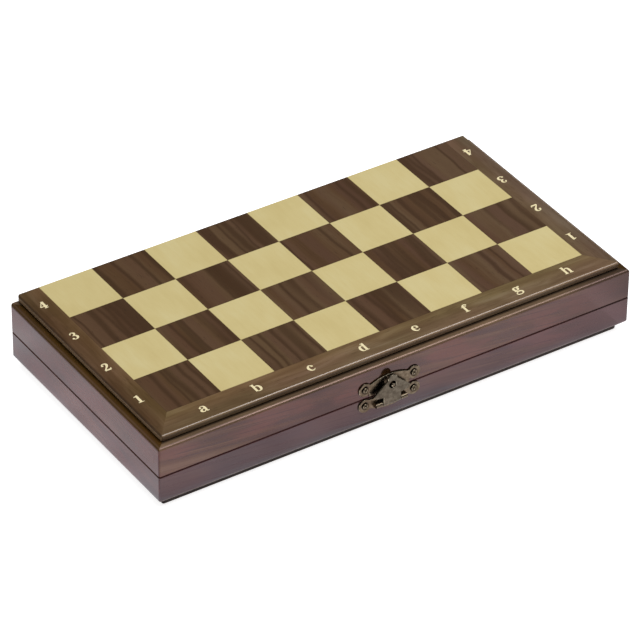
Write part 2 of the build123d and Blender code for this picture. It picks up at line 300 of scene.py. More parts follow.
def make_light_veneer(name):
    """Calm maple with a faint fleck."""
    s = Shader(name)
    place = s.place()
    leaf = veneer_leaf(s, place)
    flecks = s.noise(s.scaled(leaf, (420, 60, 1)), detail=3.0)
    clouds = s.noise(s.scaled(leaf, (55, 30, 1)), detail=2.0)
    fibres = s.noise(s.scaled(leaf, (1800, 70, 1)), detail=2.0)
    tone = s.math("MULTIPLY_ADD", clouds, 0.7, s.times(flecks, 0.3))
    colour = s.ramp(tone, [(0.34, rgb(212, 194, 136)), (0.5, rgb(216, 199, 142)),
                           (0.66, rgb(219, 204, 150))])
    colour = s.mix(s.level(fibres, 0.55, 0.8, 0.0, 0.16), colour, rgb(196, 174, 114))
    colour = s.mix(s.times(square_joints(s, place), 0.45), colour, rgb(120, 104, 58))
    s.set(Base_Color=colour, Roughness=0.46, Specular_IOR_Level=0.15)
    s.bump(fibres, 0.008 * MM)
    return s.material


def make_walnut(name, axis, tones, inner, gloss, painted_edge_light, side, seed, height):
    """Walnut of a border strip: satin on top, polished on its rounded edge, with painted light
    on that edge and painted shade at its foot.

    inner tints the wood next to the squares, gloss is the polish of the rounded edge, and
    painted_edge_light and side are the light and shade painted on that edge and on the strip's
    upright side, each with its share: a painted highlight on most edges, a painted dark reflection
    on the left border's, painted shade on most sides and a painted highlight on the lid's left
    one.
    height is the strip's, from the case to its outer face.
    """
    s = Shader(name)
    here = s.parts(s.place())
    place = s.vector_math("ADD", s.place(), seed)
    clouds = s.noise(s.scaled(place, grain(axis, 26, 110)), detail=3.0, distortion=0.8)
    streaks = s.noise(s.scaled(place, grain(axis, 14, 300)), detail=2.0, distortion=0.4)
    fibres = s.noise(s.scaled(place, grain(axis, 40, 1300)), detail=3.0)
    pores = s.noise(s.scaled(place, grain(axis, 170, 2600)), detail=1.0)
    hue = s.noise(s.scaled(place, grain(axis, 22, 60), (5, 5, 5)), detail=1.0)
    # the wood, greener and redder by turns
    tone = s.math("MULTIPLY_ADD", streaks, 0.3, s.times(clouds, 0.56))
    tone = s.math("MULTIPLY_ADD", fibres, 0.14, tone)
    colour = s.ramp(tone, list(zip((0.42, 0.53, 0.64), tones)))
    colour = s.tinted(colour, s.mix(s.level(hue, 0.35, 0.65), (0.97, 1.02, 0.95, 1),
                                    (1.05, 0.98, 1.03, 1)))
    field = FIELD_FRONT if axis == 0 else FIELD_LEFT
    near = s.level(s.size(here[1 - axis]), -field + 10 * MM, -field + 2 * MM, smooth=True)
    colour = s.tinted(colour, s.mix(near, (1, 1, 1, 1), (*inner, 1)))
    if axis == 0:
        colour = glow(s, colour, (0.97, 0.97, 0.97), (1.12, 1.2, 1.3))
    pore = s.level(pores, 0.66, 0.74, 0.0, 0.5)
    colour = s.mix(pore, colour, rgb(48, 36, 22))
    # the upright side, except where it faces the rear: painted shade, but a painted highlight on
    # the lid's left border
    upward = s.upward()
    facing_up_or_rear = s.greatest(upward, s.parts(s.normal())[1])
    colour = s.mix(s.level(facing_up_or_rear, 0.35, 0.05, 0.0, side[1]), colour, side[0])
    # the rounded edge: its coat and a painted highlight, a painted dark reflection on the left
    # border, both weaker at the front's left end
    rounded = s.times(s.level(upward, 0.4, 0.75, 0.12, 1.0),
                      s.level(upward, 0.99, 0.9, smooth=True))
    if axis == 0:
        rounded = s.times(rounded, s.level(here[0], -105 * MM, -65 * MM, 0.66, 1.0))
    colour = s.mix(s.times(rounded, painted_edge_light[1]), colour, painted_edge_light[0])
    # the groove at the foot, painted dark as shade
    depth = s.math("MINIMUM", here[2], s.math("SUBTRACT", BOARD_TOP, here[2]))
    groove_painted_shade = s.level(depth, height - 1.0 * MM, height - 0.7 * MM, 0.0, 0.8)
    colour = s.mix(groove_painted_shade, colour, rgb(20, 12, 6))
    s.set(Base_Color=colour, Roughness=0.4, Specular_IOR_Level=0.15,
          Coat_Weight=s.times(rounded, gloss), Coat_IOR=1.85, Coat_Roughness=0.3)
    s.bump(s.math("SUBTRACT", fibres, pore), 0.01 * MM, 0.6)
    return s.material


def rosewood(s, place, axis):
    """The colour of rosewood, and the tone of its grain from 0 to 1."""
    bands = s.noise(s.scaled(place, grain(axis, 7, 75)), detail=2.0, roughness=0.5,
                    distortion=0.8)
    streaks = s.noise(s.scaled(place, grain(axis, 10, 380)), detail=3.0, distortion=0.3)
    patches = s.noise(s.scaled(place, grain(axis, 24, 90), (7, 2, 4)), detail=2.0)
    tone = s.math("MULTIPLY_ADD", streaks, 0.36, s.times(bands, 0.64))
    colour = s.ramp(tone, [(0.37, rgb(26, 16, 10)), (0.46, rgb(66, 43, 24)),
                           (0.54, rgb(96, 71, 48)), (0.63, rgb(110, 86, 67))])
    reddish = s.level(patches, 0.48, 0.62, 0.0, 0.7, smooth=True)
    return s.mix(reddish, colour, rgb(102, 58, 50)), tone


def cooled(s, colour, place, here, axis, cool, tint):
    """A rail's colour with a blue-grey cast, painted shade low on the case, more where cool is
    higher.
    """
    height = here[2]
    hue = s.noise(s.scaled(place, grain(axis, 16, 40), (3, 3, 3)), detail=1.0)
    swing = 0.35 if axis == 0 else 0.7
    # painted shade: darker and blue-grey low on the case
    low = s.level(height, 4 * MM, 17 * MM, 1.0, 0.0, smooth=True)
    blue = s.math("ADD", s.times(low, 0.7), s.level(hue, 0.35, 0.65, -swing, swing),
                  clamp=True)
    along = s.level(here[axis], -130 * MM, 130 * MM, *cool)
    colour = s.mix(s.math("ADD", blue, along, clamp=True), colour, rgb(54, 50, 55))
    colour = s.tinted(colour, (*tint, 1))
    # the lowest few millimetres are paler and teal, a painted highlight
    hem = s.level(height, RAIL_FOOT + 1.2 * MM, RAIL_FOOT + 4.6 * MM, 0.62, 0.0)
    hem = s.times(hem, s.level(hue, 0.38, 0.6, 0.5, 1.0))
    return s.mix(hem, colour, rgb(66, 98, 102))


def worn_long_edge(s, colour, here, top):
    """The front or rear ledge, with a painted highlight on its rounded edge; also how dull it is.
    """
    upward = s.upward()
    # a painted highlight on the ledge's rounded edge
    edge_highlight_mask = s.times(s.level(upward, 0.76, 0.9, smooth=True),
                   s.level(upward, 0.99, 0.95, smooth=True))
    colour = s.mix(s.times(edge_highlight_mask, 0.4), colour, rgb(138, 128, 90))
    # the painted highlight dimmed, and the edge rougher, towards the left end
    dull_and_dimmed = s.times(edge_highlight_mask, s.level(here[0], -105 * MM, -60 * MM, 0.7, 0.0))
    colour = s.mix(dull_and_dimmed, colour, rgb(60, 56, 40))
    # the shade next to the border's foot, and the darker right end
    beyond = s.math("SUBTRACT", -BORDER_FRONT, s.size(here[1]))
    contact = s.times(s.level(beyond, -1.1 * MM, -0.3 * MM, 0.0, 0.7), top)
    colour = s.mix(contact, colour, rgb(18, 10, 5))
    colour = s.mix(s.level(here[0], 84 * MM, 118 * MM, 0.0, 0.7), colour, rgb(42, 34, 28))
    return colour, dull_and_dimmed


def worn_short_edge(s, colour):
    """The left or right ledge, with a paler painted highlight on its rounded edge."""
    upward = s.upward()
    edge_highlight_mask = s.times(s.level(upward, 0.3, 0.6, smooth=True),
                   s.level(upward, 0.99, 0.9, smooth=True))
    # a paler painted highlight on the rounded edge
    return s.mix(s.times(edge_highlight_mask, 0.4), colour, rgb(100, 77, 46))


def make_rail(name, axis, ledge, tint, cool, shine, seed):
    """Lacquered rosewood of a rail; its top, the ledge round the border, is plainer wood.

    tint multiplies the wood of the wall, cool is the blue-grey cast at its two ends, and shine
    is the colour of what the lacquer mirrors.
    """
    s = Shader(name)
    here = s.parts(s.place())
    lean = (0, math.radians(-7), 0) if axis == 0 else (math.radians(-7), 0, 0)
    place = s.scaled(s.vector_math("ADD", s.place(), seed), (1, 1, 1), turn=lean)
    colour, tone = rosewood(s, place, axis)
    colour = cooled(s, colour, place, here, axis, cool, tint)
    pores = s.noise(s.scaled(place, grain(axis, 26, 900)), detail=1.0)
    colour = s.mix(s.level(pores, 0.58, 0.68, 0.0, 0.6), colour, rgb(40, 24, 22))
    # the rims and their chamfers, where the halves meet, are matt and painted dark as shade in the
    # seam
    rim = s.level(s.size(s.math("SUBTRACT", here[2], RIM)), 0.45 * MM, 0.75 * MM, 1.0, 0.0)
    colour = s.mix(rim, colour, rgb(58, 26, 20))
    # the ledge
    top = s.times(s.level(s.upward(), 0.12, 0.55), s.math("SUBTRACT", 1.0, rim))
    contrast = s.level(tone, 0.38, 0.62, 0.72, 1.28)
    grey = s.node("ShaderNodeCombineColor", {0: contrast, 1: contrast, 2: contrast}).outputs[0]
    colour = s.mix(top, colour, s.mix(0.85, colour, s.tinted(ledge, grey)))
    rough = s.greatest(s.level(s.square_on(), 0.94, 0.985, 0.24, 0.13), s.times(rim, 0.95))
    if axis == 0:
        colour, dull_and_dimmed = worn_long_edge(s, colour, here, top)
        rough = s.greatest(rough, s.times(dull_and_dimmed, 0.7))
    else:
        colour = worn_short_edge(s, colour)
    s.set(Base_Color=colour, Roughness=rough, IOR=1.7, Specular_Tint=(*shine, 1))
    s.bump(s.noise(s.scaled(place, grain(axis, 45, 1500)), detail=3.0), 0.001 * MM, 0.2)
    return s.material


def make_plywood(name):
    """Pale plywood: grain on its faces and plies on its edges."""
    s = Shader(name)
    place = s.place()
    figure = s.noise(s.scaled(place, (12, 300, 1)), detail=3.0, distortion=0.5)
    face = s.ramp(figure, [(0.35, rgb(176, 146, 104)), (0.6, rgb(205, 178, 134))])
    ply = s.math("PINGPONG", s.times(s.parts(place)[2], 1 / (0.9 * MM)), 1.0)
    edge = s.mix(s.level(ply, 0.4, 0.6), rgb(150, 116, 76), rgb(206, 178, 132))
    s.set(Base_Color=s.mix(s.level(s.upward(), 0.5, 0.9), edge, face), Roughness=0.6,
          Specular_IOR_Level=0.3)
    s.bump(figure, 0.02 * MM)
    return s.material


# ---- metals, felt and ink -----------------------------------------------------------------------
def make_bronze(name, tones, recess=None):
    """Antique bronze: rubbed bright on its edges, dark between two depths behind its face."""
    s = Shader(name)
    place = s.place()
    mottle = s.noise(place, 500, detail=2.0)
    grit = s.noise(place, 3000, detail=2.0)
    colour = s.ramp(mottle, list(zip((0.3, 0.5, 0.7), tones)))
    edge = s.times(s.level(s.square_on(), 0.92, 0.72), s.level(grit, 0.35, 0.6))
    colour = s.mix(s.times(edge, 0.6), colour, rgb(205, 196, 170))
    if recess:
        depth = s.level(s.parts(place)[1], *recess)
        colour = s.mix(s.times(depth, 0.8), colour, rgb(40, 28, 18))
    s.set(Base_Color=colour, Metallic=1.0, Roughness=s.level(mottle, 0.3, 0.7, 0.34, 0.24))
    s.bump(grit, 0.03 * MM, 0.5)
    return s.material


def make_brass(name, tones, roughness):
    """Brushed metal between two tones, duller where it is tarnished."""
    s = Shader(name)
    place = s.place()
    brushed = s.noise(s.scaled(place, (60, 2500, 2500)), detail=2.0)
    tarnish = s.noise(place, 260, detail=3.0)
    tone = s.math("MULTIPLY_ADD", tarnish, 0.7, s.times(brushed, 0.3))
    s.set(Base_Color=s.ramp(tone, list(zip((0.35, 0.6), tones))), Metallic=1.0,
          Roughness=s.level(tarnish, 0.3, 0.7, roughness + 0.1, roughness))
    s.bump(brushed, 0.01 * MM, 0.5)
    return s.material


def make_felt_material(name):
    """Green felt with a fine pile."""
    s = Shader(name)
    place = s.place()
    fuzz = s.noise(place, 1800, detail=4.0, roughness=0.7)
    clumps = s.noise(place, 420, detail=4.0, roughness=0.65)
    tone = s.math("MULTIPLY_ADD", fuzz, 0.65, s.times(clumps, 0.35))
    s.set(Base_Color=s.ramp(tone, [(0.38, rgb(18, 52, 36)), (0.5, rgb(26, 70, 48)),
                                   (0.64, rgb(42, 92, 66))]),
          Roughness=1.0, Specular_IOR_Level=0.05, Sheen_Weight=0.06, Sheen_Roughness=0.6,
          Sheen_Tint=rgb(120, 200, 150))
    s.bump(tone, 0.25 * MM, 0.8)
    return s.material


def make_ink(name):
    """Cream print of the letters and numbers."""
    s = Shader(name)
    speckle = s.noise(s.place(), 2200, detail=3.0)
    s.set(Base_Color=s.ramp(speckle, [(0.3, rgb(240, 222, 172)), (0.6, rgb(255, 242, 198))]),
          Roughness=0.5, Specular_IOR_Level=0.3)
    s.bump(speckle, 0.01 * MM, 0.5)
    return s.material


# ---- materials of the CAD nodes -----------------------------------------------------------------
# painted highlight and painted dark reflection for the borders' rounded edges, each with its share
PAINTED_EDGE_HIGHLIGHT = (rgb(162, 130, 98), 0.6)
PAINTED_EDGE_DARK_REFLECTION = (rgb(50, 34, 20), 0.4)
BORDERS = {
    "front": {"axis": 0, "tones": [rgb(98, 75, 52), rgb(111, 88, 63), rgb(124, 102, 78)],
              "inner": (1.12, 1.14, 1.0), "gloss": 1.0, "painted_edge_light": PAINTED_EDGE_HIGHLIGHT},
    "left": {"axis": 1, "tones": [rgb(78, 57, 33), rgb(91, 69, 45), rgb(102, 80, 56)],
             "inner": (1.42, 1.45, 1.5), "gloss": 0.1, "painted_edge_light": PAINTED_EDGE_DARK_REFLECTION},
    "right": {"axis": 1, "tones": [rgb(94, 76, 58), rgb(105, 88, 70), rgb(114, 98, 80)],
              "inner": (1.16, 1.06, 1.0), "gloss": 0.6, "painted_edge_light": PAINTED_EDGE_HIGHLIGHT}}
# painted shade on the borders' upright sides, and a painted highlight on the lid's left one
LID_SIDE_PAINTED_SHADE = (rgb(28, 18, 10), 0.45)
LID_LEFT_SIDE_PAINTED_HIGHLIGHT = (rgb(158, 130, 98), 0.8)
BASE_SIDE_PAINTED_SHADE = (rgb(64, 60, 64), 0.9)
PAINTED_SIDE_LIGHT_AND_SHADE = {
    "lid": {"front": LID_SIDE_PAINTED_SHADE, "left": LID_LEFT_SIDE_PAINTED_HIGHLIGHT, "right": LID_SIDE_PAINTED_SHADE},
    "base": {"front": BASE_SIDE_PAINTED_SHADE, "left": BASE_SIDE_PAINTED_SHADE, "right": BASE_SIDE_PAINTED_SHADE}}
RAIL_PAIRS = {"long": ("front", "rear"), "short": ("left", "right")}
RAILS = {
    "long": {"axis": 0, "ledge": rgb(115, 95, 74), "tint": (1.0, 1.0, 0.85)},
    "short": {"axis": 1, "ledge": rgb(71, 51, 11), "tint": (1.0, 0.7, 0.8)}}
LACQUERS = {
    "lid": {"long": {"cool": (0.0, 0.0), "shine": (1.0, 0.62, 0.62)},
            "short": {"cool": (0.15, 0.15), "shine": (1.0, 0.57, 0.6)}},
    "base": {"long": {"cool": (0.8, 0.1), "shine": (1.0, 0.62, 0.68)},
             "short": {"cool": (-0.5, -0.5), "shine": (1.0, 0.62, 0.68)}}}
SEEDS = {"lid": (0, 0, 0), "base": (3.1, 1.7, 0)}
PLATE_TONES = [rgb(84, 71, 56), rgb(101, 87, 71), rgb(118, 104, 87)]
FLAP_TONES = [rgb(76, 67, 56), rgb(90, 81, 69), rgb(106, 97, 84)]

dark_veneer = make_dark_veneer("dark_veneer")
light_veneer = make_light_veneer("light_veneer")
for half, seed in SEEDS.items():
    paint(dark_veneer, f"{half}_dark_squares")
    paint(light_veneer, f"{half}_light_squares")
    for place, look in BORDERS.items():
        walnut = make_walnut(f"{half}_{place}_walnut", side=PAINTED_SIDE_LIGHT_AND_SHADE[half][place], seed=seed,
                             height=BORDER_HEIGHT[half], **look)
        paint(walnut, f"{half}_{place}_border")
    for pair, look in RAILS.items():
        lacquer = make_rail(f"{half}_{pair}_rail", seed=seed, **look, **LACQUERS[half][pair])
        paint(lacquer, *(f"{half}_{place}_rail" for place in RAIL_PAIRS[pair]))
paint(make_plywood("plywood"), "lid_board_panel", "base_board_panel")
hinge_brass = make_brass("hinge_brass", (rgb(176, 136, 72), rgb(214, 178, 106)), 0.28)
pin_steel = make_brass("pin_steel", (rgb(150, 142, 122), rgb(188, 180, 160)), 0.3)
for side in ("left", "right"):
    paint(hinge_brass, f"{side}_hinge_lid_leaf", f"{side}_hinge_base_leaf")
    paint(pin_steel, f"{side}_hinge_pin")
plate_bronze = make_bronze("plate_bronze", PLATE_TONES,
                           (LATCH_FACE + 0.05 * MM, LATCH_FACE + 0.3 * MM))
flap_bronze = make_bronze("flap_bronze", FLAP_TONES)
paint(plate_bronze, "latch_upper_plate", "latch_lower_plate")
paint(flap_bronze, "latch_flap", "latch_pin")


# ---- pieces -------------------------------------------------------------------------------------
def add_piece(name, bm, material, body, node=None, smooth=False):
    """Turns a bmesh into a piece that rides on a body and may stand for a CAD node."""
    bmesh.ops.recalc_face_normals(bm, faces=bm.faces)
    for face in bm.faces:
        face.smooth = smooth
    mesh = bpy.data.meshes.new(name)
    bm.to_mesh(mesh)
    bm.free()
    piece = bpy.data.objects.new(name, mesh)
    bpy.context.scene.collection.objects.link(piece)
    mesh.materials.append(material)
    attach(piece, body)
    if node:
        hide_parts(node)
    return piece


def circle(radius, steps, x=0.0, y=0.0):
    turn = 2 * math.pi / steps
    return [Vector((x + radius * math.cos(i * turn), y + radius * math.sin(i * turn)))
            for i in range(steps)]


def add_ring(bm, radius, height, place, steps):
    """A ring of vertices about the local Z of a matrix, or a single one where it closes."""
    points = circle(radius, steps) if radius else [Vector((0, 0))]
    return [bm.verts.new(place @ Vector((*point, height))) for point in points]


def join_rings(bm, rings, steps):
    """Faces between each ring and the next."""
    for lower, upper in zip(rings, rings[1:]):
        for i in range(steps):
            j = (i + 1) % steps
            corners = [lower[i % len(lower)], lower[j % len(lower)],
                       upper[j % len(upper)], upper[i % len(upper)]]
            bm.faces.new(list(dict.fromkeys(corners)))


def lathe(bm, profile, place, steps=32):
    """Revolves (radius, height) points about the local Z of a matrix."""
    join_rings(bm, [add_ring(bm, *point, place, steps) for point in profile], steps)


# The shapes of the letters and numbers: strokes, discs and slabs. Strokes are (x, y, width)
# points in mm from the left end of the baseline; discs are (x, y, radius); slabs are corners of
# a convex shape.
SERIF = 0.5                               # height of the serifs that stand on the baseline
GLYPHS = {
    "a": ([[(1.05, 4.15, 0.5), (1.5, 4.85, 0.5), (2.4, 5.08, 0.55), (3.3, 4.7, 0.9),
            (3.6, 3.8, 1.3), (3.6, 2.4, 1.3), (3.62, 1.0, 1.25), (4.0, 0.32, 0.75),
            (4.9, 0.5, 0.3)],
           [(3.4, 3.1, 0.4), (2.3, 2.8, 0.6), (1.2, 2.2, 1.1), (0.85, 1.25, 1.35),
            (1.3, 0.5, 0.95), (2.2, 0.35, 0.65), (3.2, 1.1, 0.4)]],
          [(1.15, 3.95, 0.62)], []),
    "b": ([[(1.3, 6.9, 1.3), (1.3, 0.4, 1.3)],
           [(1.5, 4.1, 0.4), (2.5, 4.95, 0.65), (3.75, 4.5, 1.1), (4.3, 2.65, 1.4),
            (3.8, 0.85, 1.1), (2.5, 0.25, 0.6), (1.3, 0.6, 0.4)]],
          [], [[(0.1, 6.5), (1.9, 6.5), (1.95, 7.1), (0.1, 6.85)]]),
    "c": ([[(3.6, 4.3, 0.5), (2.7, 5.0, 0.55), (1.5, 4.5, 1.05), (0.85, 2.65, 1.4),
            (1.5, 0.85, 1.1), (2.7, 0.3, 0.65), (4.1, 1.3, 0.3)]],
          [(3.4, 3.95, 0.68)], []),
    "d": ([[(3.6, 6.9, 1.3), (3.6, 0.4, 1.3)],
           [(3.4, 4.2, 0.4), (2.4, 4.95, 0.6), (1.25, 4.4, 1.1), (0.8, 2.6, 1.4),
            (1.2, 0.9, 1.1), (2.2, 0.25, 0.6), (3.4, 0.8, 0.4)]],
          [], [[(2.4, 6.5), (4.2, 6.5), (4.25, 7.1), (2.4, 6.85)],
               [(3.4, 0.0), (4.9, 0.25), (4.9, 0.6), (3.4, 0.6)]]),
    "e": ([[(1.2, 2.75, 0.45), (3.9, 2.75, 0.45)],
           [(3.75, 2.6, 0.8), (3.65, 4.1, 1.0), (2.5, 5.0, 0.55), (1.35, 4.4, 1.05),
            (0.85, 2.65, 1.4), (1.45, 0.9, 1.1), (2.7, 0.3, 0.65), (4.1, 1.25, 0.3)]],
          [], []),
    "f": ([[(1.75, 0.3, 1.3), (1.75, 5.3, 1.3), (2.15, 6.45, 0.95), (3.1, 6.9, 0.55),
            (3.75, 6.45, 0.5)], [(0.4, 4.95, 0.5), (3.3, 4.95, 0.5)]],
          [(3.6, 6.2, 0.62)], [[(0.6, 0), (3.1, 0), (3.1, SERIF), (0.6, SERIF)]]),
    "g": ([[(2.2, 5.0, 0.6), (1.3, 4.6, 1.0), (0.95, 3.6, 1.3), (1.3, 2.6, 1.0),
            (2.2, 2.2, 0.6), (3.1, 2.6, 1.0), (3.45, 3.6, 1.3), (3.1, 4.6, 1.0),
            (2.2, 5.0, 0.6)],
           [(1.2, 2.5, 0.4), (0.85, 1.75, 0.75), (1.6, 1.15, 1.0), (3.1, 0.95, 1.15),
            (4.25, 0.2, 1.15), (4.1, -1.1, 0.95), (2.7, -1.95, 0.6), (1.1, -1.75, 0.8),
            (0.6, -0.9, 0.8), (1.0, -0.05, 0.5), (2.0, 0.6, 0.4)],
           [(3.2, 4.7, 0.45), (4.3, 5.15, 0.5)]],
          [(4.35, 4.95, 0.55)], []),
    "h": ([[(1.3, 6.9, 1.3), (1.3, 0.2, 1.3)],
           [(1.6, 3.8, 0.4), (2.6, 4.95, 0.65), (3.65, 4.75, 1.05), (4.1, 3.6, 1.3),
            (4.1, 0.2, 1.3)]],
          [], [[(0.1, 6.5), (1.9, 6.5), (1.95, 7.1), (0.1, 6.85)],
               [(0.2, 0), (2.4, 0), (2.4, SERIF), (0.2, SERIF)],
               [(3.0, 0), (5.2, 0), (5.2, SERIF), (3.0, SERIF)]]),
    "1": ([[(2.45, 6.6, 1.4), (2.45, 0.3, 1.4)]], [],
          [[(0.8, 5.6), (2.2, 5.9), (3.15, 6.9), (2.6, 6.9), (0.8, 6.1)],
           [(0.8, 0), (4.1, 0), (4.1, SERIF), (0.8, SERIF)]]),
    "2": ([[(0.95, 5.3, 0.5), (1.35, 6.2, 0.6), (2.4, 6.6, 0.75), (3.45, 6.0, 1.2),
            (3.5, 4.7, 1.35), (2.7, 3.2, 1.0), (0.8, 0.9, 0.5)],
           [(0.6, 0.6, 1.2), (4.0, 0.6, 1.2)], [(4.0, 0.7, 0.8), (4.35, 1.9, 0.3)]],
          [(1.2, 5.2, 0.68)], []),
    "3": ([[(0.9, 5.6, 0.4), (1.5, 6.4, 0.55), (2.5, 6.5, 0.7), (3.3, 5.6, 1.2),
            (2.9, 4.3, 0.9), (1.7, 3.7, 0.4)],
           [(1.7, 3.7, 0.4), (3.1, 3.4, 0.9), (3.75, 2.1, 1.35), (3.2, 0.75, 1.0),
            (1.9, 0.25, 0.55), (0.9, 0.8, 0.5)]],
          [(1.05, 1.2, 0.65), (1.1, 5.5, 0.5)], []),
    "4": ([[(3.1, 6.6, 0.55), (0.6, 2.1, 0.55)], [(0.4, 1.95, 0.75), (4.6, 1.95, 0.75)],
           [(3.2, 6.7, 1.35), (3.2, 0.2, 1.35)]],
          [], [[(2.1, 0), (4.3, 0), (4.3, SERIF), (2.1, SERIF)]]),
    "5": ([[(1.25, 6.3, 0.45), (1.1, 3.8, 0.45)],
           [(1.1, 3.7, 0.4), (2.3, 4.15, 0.7), (3.5, 3.4, 1.2), (3.75, 2.0, 1.35),
            (3.1, 0.7, 1.0), (1.9, 0.25, 0.55), (0.9, 0.8, 0.5)]],
          [(1.05, 1.2, 0.65)], [[(1.1, 5.6), (3.6, 5.6), (4.0, 6.75), (1.1, 6.75)]]),
    "6": ([[(3.8, 6.5, 0.4), (2.3, 5.7, 0.8), (1.1, 4.2, 1.2), (0.85, 2.3, 1.35),
            (1.35, 0.8, 1.05), (2.35, 0.25, 0.6), (3.35, 0.8, 1.05), (3.75, 2.1, 1.3),
            (3.3, 3.5, 1.0), (2.3, 4.0, 0.6), (1.2, 3.3, 0.4)]], [], []),
    "7": ([[(3.8, 6.1, 0.5), (2.9, 4.2, 1.0), (2.3, 2.2, 1.3), (2.2, 0.1, 1.45)],
           [(0.75, 6.2, 1.1), (4.2, 6.2, 1.1)], [(0.85, 6.3, 0.7), (0.7, 4.9, 0.3)]], [], []),
    "8": ([[(2.35, 6.55, 0.6), (1.35, 5.95, 1.1), (1.35, 4.75, 1.1), (2.35, 3.85, 0.7),
            (3.45, 3.0, 1.1), (3.55, 1.2, 1.2), (2.35, 0.28, 0.6), (1.1, 1.2, 1.1),
            (1.15, 2.9, 1.0), (2.35, 3.75, 0.7), (3.25, 4.7, 1.0), (3.3, 5.9, 1.0),
            (2.35, 6.55, 0.6)]], [], []),
}
INK_RISE = 0.02 * MM                      # ink above the border
INK_SINK = 0.1 * MM                       # ink in the border
GLYPH_WIDTH, GLYPH_HEIGHT = 0.95, 0.86    # of the sizes in GLYPHS
DISC_STEPS = 14
GLYPH_MIDDLE = 3.4                        # in GLYPHS, half the height of a number
BASELINE = FIELD_FRONT - 9.4 * MM         # of the letters
LETTER_SHIFT = 0.9 * MM                   # along the reading direction, from a square's middle
NUMBER_SHIFT = 0.85 * MM                  # up, from a square's middle
UPRIGHT_INSET = 5.8 * MM                  # from the squares to the middle of a number
TURNED_INSET = 4.9 * MM                   # the same for the numbers that are upside down


def stroke_quads(points, steps=5):
    """Quads along a smooth stroke of varying width."""
    knots = [Vector(point) for point in points]
    knots = [2 * knots[0] - knots[1], *knots, 2 * knots[-1] - knots[-2]]
    samples = []
    for before, start, end, after in zip(knots, knots[1:], knots[2:], knots[3:]):
        for i in range(steps):
            t = i / steps
            samples.append(0.5 * (2 * start + (end - before) * t
                                  + (2 * before - 5 * start + 4 * end - after) * t ** 2
                                  + (3 * start - before - 3 * end + after) * t ** 3))
    samples.append(knots[-2])
    rails = []
    for i, sample in enumerate(samples):
        ahead = samples[min(i + 1, len(samples) - 1)] - samples[max(i - 1, 0)]
        across = Vector((-ahead.y, ahead.x)).normalized() * sample.z / 2
        rails.append((sample.xy + across, sample.xy - across))
    return [convex([a, b, c, d]) for (a, b), (c, d) in zip(rails, rails[1:])]


def convex(points):
    """The points in order round their convex shape."""
    return [points[index] for index in convex_hull_2d(points)]


def glyph_triangles(character):
    """The points and triangles of a glyph, its strokes, discs and slabs made one."""
    strokes, discs, slabs = GLYPHS[character]
    shapes = [quad for stroke in strokes for quad in stroke_quads(stroke)]
    shapes += [circle(radius, DISC_STEPS, x, y) for x, y, radius in discs]
    shapes += [[Vector(corner) for corner in slab] for slab in slabs]
    points, faces = [], []
    for shape in shapes:
        turns = sum(a.x * b.y - b.x * a.y for a, b in zip(shape, shape[1:] + shape[:1]))
        if turns < 0:
            shape = shape[::-1]
        faces.append(list(range(len(points), len(points) + len(shape))))
        points += shape
    points, _, triangles, _, _, sources = delaunay_2d_cdt(points, [], faces, 0, 1e-4)
    return points, [face for face, source in zip(triangles, sources) if source]


def add_glyph(bm, character, anchor, right, up, surface, centred):
    """Lays a glyph on a face: anchor is under its middle, or at its middle if centred."""
    points, triangles = glyph_triangles(character)
    used = {index for face in triangles for index in face}
    xs = [points[index].x for index in used]
    middle = Vector(((min(xs) + max(xs)) / 2, GLYPH_MIDDLE if centred else 0))
    outward = right.cross(up)
    layers = []
    for offset in (INK_RISE, -INK_SINK):
        layers.append({index: bm.verts.new(
            anchor + ((points[index].x - middle.x) * GLYPH_WIDTH * right
                      + (points[index].y - middle.y) * GLYPH_HEIGHT * up) * MM
            + (surface + offset) * outward) for index in used})
    top, bottom = layers
    edges = {}
    for face in triangles:
        bm.faces.new([top[index] for index in face])
        bm.faces.new([bottom[index] for index in reversed(face)])
        for pair in zip(face, face[1:] + face[:1]):
            edges[pair] = edges.get(pair, 0) + 1
    for a, b in edges:
        if (b, a) not in edges:
            bm.faces.new([top[b], top[a], bottom[a], bottom[b]])


def add_labels(half, material):
    """The letters before the front squares and the numbers at both ends of one half."""
    bm = bmesh.new()
    x_axis, y_axis = Vector((1, 0, 0)), Vector((0, 1, 0))
    front = x_axis if half == "lid" else -x_axis
    surface = BOARD_TOP if half == "lid" else 0
    for file, character in enumerate("abcdefgh"):
        x = FIELD_LEFT + (file + 0.5) * SQUARE
        anchor = Vector((x, BASELINE, 0)) + LETTER_SHIFT * front
        add_glyph(bm, character, anchor, front, y_axis, surface, False)
    for row in range(RANKS):
        character = str(row + 1 if half == "lid" else 2 * RANKS - row)
        for end in (-1, 1):
            upright = (end < 0) == (half == "lid")
            x = end * (-FIELD_LEFT + (UPRIGHT_INSET if upright else TURNED_INSET))
            y = FIELD_FRONT + (row + 0.5) * SQUARE + NUMBER_SHIFT
            right, up = (front, y_axis) if upright else (-front, -y_axis)
            add_glyph(bm, character, Vector((x, y, 0)), right, up, surface, True)
    add_piece(f"{half}_labels", bm, material, half)


FELT_COLUMNS, FELT_ROWS = 64, 30
FELT_WAVE = 0.06 * MM
FELT_DROOP, FELT_EDGE = 0.25 * MM, 1.5 * MM     # how far its edge hangs, and how wide that is


def felt_sink(x, y, low, high):
    """How far the pile lies under its highest level: in soft waves, and more at the edges."""
    wave = 0.5 + 0.25 * math.sin(41 * x + 90 * y) + 0.25 * math.sin(130 * x - 57 * y)
    edge = min(x - low.x, high.x - x, y - low.y, high.y - y)
    return FELT_WAVE * wave + FELT_DROOP * max(0.0, 1 - edge / FELT_EDGE)


